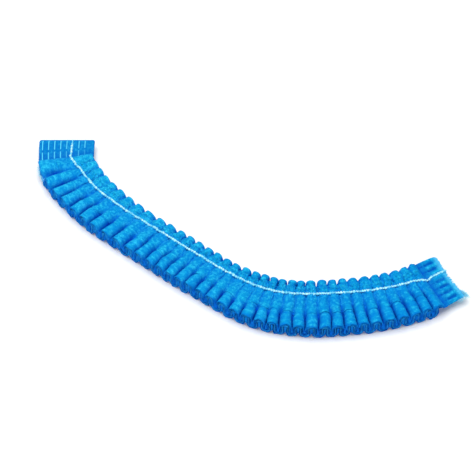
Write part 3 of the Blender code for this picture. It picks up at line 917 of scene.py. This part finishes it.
def makeTab(name, weld, atStart, material):
    # two skins over the tab's outline, rounded at the rim: height falls to the middle at the edges
    length = (strip["leftTab"] if atStart else strip["rightTab"]) + tab["overlap"]
    inset = np.linspace(0, 1, tab["rows"])[:, None] * length
    turn = np.linspace(-1, 1, tab["columns"])[None, :] * tab["crowding"]
    place = np.sin(turn) / math.sin(tab["crowding"]) / 2
    seed = 71 if atStart else 81
    across = place * strip["width"] * np.ones_like(inset)
    ragged = weld["ragged"] * (waves(across / 0.0022, 0, seed) + 0.5 * waves(across / 0.0006, 0, seed + 1))
    ragged = ragged * ease(1 - inset / tab["raggedOver"])
    moved = inset + ragged + cutBack(weld, place) * (1 - inset / length)
    distance = moved if atStart else strip["length"] - moved
    middle, side, _ = planFrame(distance)
    lost = np.clip(tab["corner"] - inset, 0, None)
    narrowed = tab["corner"] - np.sqrt(tab["corner"] ** 2 - lost**2)
    halfWidth = stripWidth(distance) / 2 - narrowed
    plan = middle + side * (halfWidth * place * 2)[..., None]

    fromSide = (0.5 - np.abs(place)) * strip["width"]
    thinned = weld["thin"] * ease(1 - inset / tab["thinOver"])
    thickness = strip["tabThickness"] * (1 - thinned)
    rim = np.clip(np.minimum(fromSide, inset) / (thickness / 2), 0, 1)
    half = thickness / 2 * np.sqrt(np.maximum(1 - (1 - rim) ** 2, tab["leastRim"] ** 2))
    mask = dashMask(weld, across, moved)
    puff = 0
    for i, (rise, size) in enumerate(tab["puffs"]):
        puff = puff + rise * waves(across / size, moved / size, seed + 2 + i)
    inside = ease(np.minimum(fromSide, inset) / 0.001)
    droop = tab["droop"] * thinned
    band = ease((moved - weld["rows"][0][0] + 0.001) / 0.002)
    ridge = -weld["ridge"] * np.cos(2 * math.pi * across / weld["pitch"]) * band
    # the dashes and ridges fade out above the cloth that is tucked in
    relief = (ridge - mask * weld["depth"]) * ease((length - tab["overlap"] - tuck - moved) / 0.001)
    top = middleHeight + half + (puff + relief) * inside - droop
    bottom = middleHeight - half + puff * inside * 0.5 - droop
    skins = [np.concatenate((plan, z[..., None]), axis=-1) for z in (top, bottom)]
    points = np.stack(skins)
    index = np.arange(points[..., 0].size).reshape(points.shape[:3])
    upper = np.stack((index[0, :-1, :-1], index[0, 1:, :-1], index[0, 1:, 1:], index[0, :-1, 1:]), axis=-1)
    lower = np.stack((index[1, :-1, :-1], index[1, :-1, 1:], index[1, 1:, 1:], index[1, 1:, :-1]), axis=-1)
    rimTop = np.concatenate((index[0, 0, :-1], index[0, :-1, -1], index[0, -1, :0:-1], index[0, :0:-1, 0]))
    rimLow = rimTop + index[1, 0, 0]
    wallQuads = np.stack((rimTop, np.roll(rimTop, -1), np.roll(rimLow, -1), rimLow), axis=-1)
    quads = np.concatenate([q.reshape(-1, 4) for q in (upper, lower, wallQuads)])
    if not atStart:
        quads = quads[:, ::-1]
    spot = np.stack(np.broadcast_arrays(across, moved, seed * 0.01), axis=-1)
    # painted shade: a dark band round each dash, and darker towards the gathers
    around = dashMask(weld, across, moved, 2.4) - mask
    inner = ease((inset - tab["innerFrom"]) / (length - tab["innerFrom"]))
    inner = weld["inner"] * inner * np.ones_like(mask)
    attributes = {
        "clothSpot": np.stack((spot, spot)),
        "paintedShade": np.stack((np.maximum(inner, 0.8 * around * inside), inner)),
        "weldMark": np.stack((mask * inside, mask * 0)),
        "foldEdge": np.stack((ease(1 - inset / tab["edgeOver"]) * np.ones_like(mask), mask * 0)),
    }
    return newPiece(name, points, quads.tolist(), material, attributes)


def makeTabMaterial(name, fibres, weld):
    material, tree, shader = startMaterial(name, {"Roughness": 0.8, "Specular IOR Level": 0.02})
    cloth = addFibres(tree, fibres)
    cloth.inputs["Ridges"].default_value = clothLook["tabRidges"]
    colour = addRamp(tree, cloth.outputs["Mottle"], clothStops)
    # painted shade: the skin is mixed towards the dark colour by the weld's shade share everywhere, and by
    # more where the attribute says
    paintedShade = addAttribute(tree, "paintedShade", "Fac")
    paintedShade = addMath(tree, "MULTIPLY_ADD", paintedShade, clothLook["paintedShadeShare"] - weld["shade"], weld["shade"])
    colour = addMix(tree, paintedShade, colour, clothLook["pressed"])
    colour = tinted(tree, colour, "foldEdge", weld["edgeShare"], weld["edge"])
    colour = tinted(tree, colour, "weldMark", weldShare, weld["colour"])
    tree.links.new(colour, shader.inputs["Base Color"])
    addBump(tree, shader, cloth.outputs["Height"], clothLook["grainDepth"])
    return material


# Loose fibres at the raw edges: where they start (share of the length, place across, spread of both),
# which way they point (1 beyond the right cut edge, -1 in front of the front edge), how many and how long.
fringes = {
    "share": (1.0, 1.0, 0.99, 0.078),
    "place": (0.0, -0.44, -0.5, -0.5),
    "shareSpread": (0.0, 0.0, 0.012, 0.014),
    "placeSpread": (0.46, 0.07, 0.01, 0.01),
    "way": (1, 1, -1, -1),
    "count": (190, 220, 90, 280),
    "length": (0.0013, 0.0024, 0.0024, 0.0021),
}
fibre = {
    "radius": 0.000045, "thinTip": 0.6, "stations": 6, "seed": 93, "rooted": 0.0004, "shortest": 0.35,
    "layer": 0.4, "fan": 0.6, "curl": 0.16, "lift": 0.25, "sag": 0.2,
}


def makeFringe(name, material):
    # three-sided strands: each runs outwards, leans by its share of the fan and bends in one slow curl
    draw = np.random.default_rng(fibre["seed"])
    along = np.linspace(0, 1, fibre["stations"])[None, :, None]
    up = np.array((0.0, 0.0, 1.0))
    points = []
    for share, place, shareSpread, placeSpread, way, count, length in zip(*fringes.values()):
        distance = strip["length"] * (share + shareSpread * draw.uniform(-1, 1, count))
        place = np.clip(place + placeSpread * draw.uniform(-1, 1, count), -0.5, 0.5)
        distance = np.minimum(distance, strip["length"] - cutBack(rightWeld, place) * (way > 0))
        start = np.zeros((count, 3))
        start[:, :2], side, square = planPoint(distance, place)
        start[:, 2] = middleHeight + strip["tabThickness"] * fibre["layer"] * draw.uniform(-1, 1, count)
        outward = square if way > 0 else -side
        aside = side if way > 0 else square
        outward, aside = (np.column_stack((v, np.zeros(count))) for v in (outward, aside))
        start = start - outward * fibre["rooted"]
        reach = length * draw.uniform(fibre["shortest"], 1, count)[:, None, None]
        lean = fibre["fan"] * draw.normal(size=(count, 1, 1))
        turn, phase = draw.uniform(0.4, 1.1, (count, 1, 1)), draw.uniform(0, 2 * math.pi, (count, 1, 1))
        bent = fibre["curl"] * (np.sin(2 * math.pi * turn * along + phase) - np.sin(phase))
        lift = fibre["lift"] * draw.normal(size=(count, 1, 1)) * along - fibre["sag"] * along**2
        level = outward[:, None] * along + aside[:, None] * (lean * along + bent)
        route = start[:, None] + reach * (level + up * lift)
        angle = np.array((0, 2, 4))[None, None, :, None] * math.pi / 3
        radius = fibre["radius"] * (1 - fibre["thinTip"] * along)[..., None]
        ring = (aside[:, None, None] * np.cos(angle) + up * np.sin(angle)) * radius
        points.append(route[:, :, None] + ring)
    points = np.concatenate(points)
    single = np.array(tubeFaces(fibre["stations"], 3)[:-2])
    starts = np.arange(len(points))[:, None, None] * fibre["stations"] * 3
    faces = (single[None] + starts).reshape(-1, 4).tolist()
    return newPiece(name, points, faces, material, None, 80)


def makeFringeMaterial():
    material, _, shader = startMaterial("looseFibres", {"Roughness": 0.7, "Specular IOR Level": 0.2})
    shader.inputs["Base Color"].default_value = (0.30, 0.78, 0.96, 1)
    return material


def makeFloor():
    reach = 3.0
    corners = [(-reach, -reach, 0), (reach, -reach, 0), (reach, reach, 0), (-reach, reach, 0)]
    mesh = bpy.data.meshes.new("studioFloor")
    mesh.from_pydata(corners, [], [(0, 1, 2, 3)])
    material, _, shader = startMaterial("paleFloor", {"Roughness": 0.9, "Specular IOR Level": 0.1})
    shader.inputs["Base Color"].default_value = (0.98, 0.98, 0.98, 1)
    mesh.materials.append(material)
    placeInScene("studioFloor", mesh)


studio = {
    "topPower": 25.5, "topSize": 1.5, "topPlace": (-0.12, 0.12, 1.5), "sky": 0.35,
    "frontPower": 2.5, "frontSize": 0.7, "frontPlace": (0.05, -1.2, 0.55),
}


def makeLamp(name, power, size, place):
    # a square lamp that points at the middle of the floor
    lamp = bpy.data.lights.new(name, "AREA")
    lamp.shape = "SQUARE"
    lamp.size = size
    lamp.energy = power
    seat = placeInScene(name, lamp)
    seat.location = place
    seat.rotation_euler = seat.location.to_track_quat("Z", "Y").to_euler()


def makeStudio():
    makeLamp("softTop", studio["topPower"], studio["topSize"], studio["topPlace"])
    makeLamp("softFront", studio["frontPower"], studio["frontSize"], studio["frontPlace"])
    world = bpy.data.worlds.new("studioSky")
    world.use_nodes = True
    world.node_tree.nodes["Background"].inputs["Color"].default_value = (0.95, 0.98, 1, 1)
    world.node_tree.nodes["Background"].inputs["Strength"].default_value = studio["sky"]
    bpy.context.scene.world = world
    bpy.context.scene.view_settings.view_transform = "Standard"


viewpoint = {"aim": (0.0887, -0.0620), "elevation": 50.0, "distance": 0.8, "lens": 121.5}


def makeCamera():
    camera = bpy.data.cameras.new("photoView")
    camera.lens = viewpoint["lens"]
    camera.sensor_width = 36
    camera.clip_start = 0.01
    seat = placeInScene("photoView", camera)
    rise = math.radians(viewpoint["elevation"])
    aim = stripStart + viewpoint["aim"]
    back = viewpoint["distance"] * math.cos(rise)
    seat.location = (aim[0], aim[1] - back, viewpoint["distance"] * math.sin(rise))
    seat.rotation_euler = (math.pi / 2 - rise, 0, 0)
    bpy.context.scene.camera = seat


makeStudio()
makeCamera()
makeFloor()
print("studio made")

fibres = buildFibreGroup()
clothMaterial = makeClothMaterial(fibres)
threadMaterial = makeThreadMaterial()
leftTabMaterial = makeTabMaterial("weldedClothLeft", fibres, leftWeld)
rightTabMaterial = makeTabMaterial("weldedClothRight", fibres, rightWeld)

for panelName in clothPaths:
    panel, panelWidth, panelLength = makeClothPanel(panelName, clothMaterial)
    print("  flat", round(panelWidth, 4), round(panelLength, 4))

makeTab("left_welded_end", leftWeld, True, leftTabMaterial)
makeTab("right_welded_end", rightWeld, False, rightTabMaterial)
upperThread = makeThread("upper_elastic_thread", 1, threadMaterial)
lowerThread = makeThread("lower_elastic_thread", -1, threadMaterial)
makeFringe("frayed_edge_fibres", makeFringeMaterial())

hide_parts("pleated_cap")
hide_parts("upper_elastic")
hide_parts("lower_elastic")
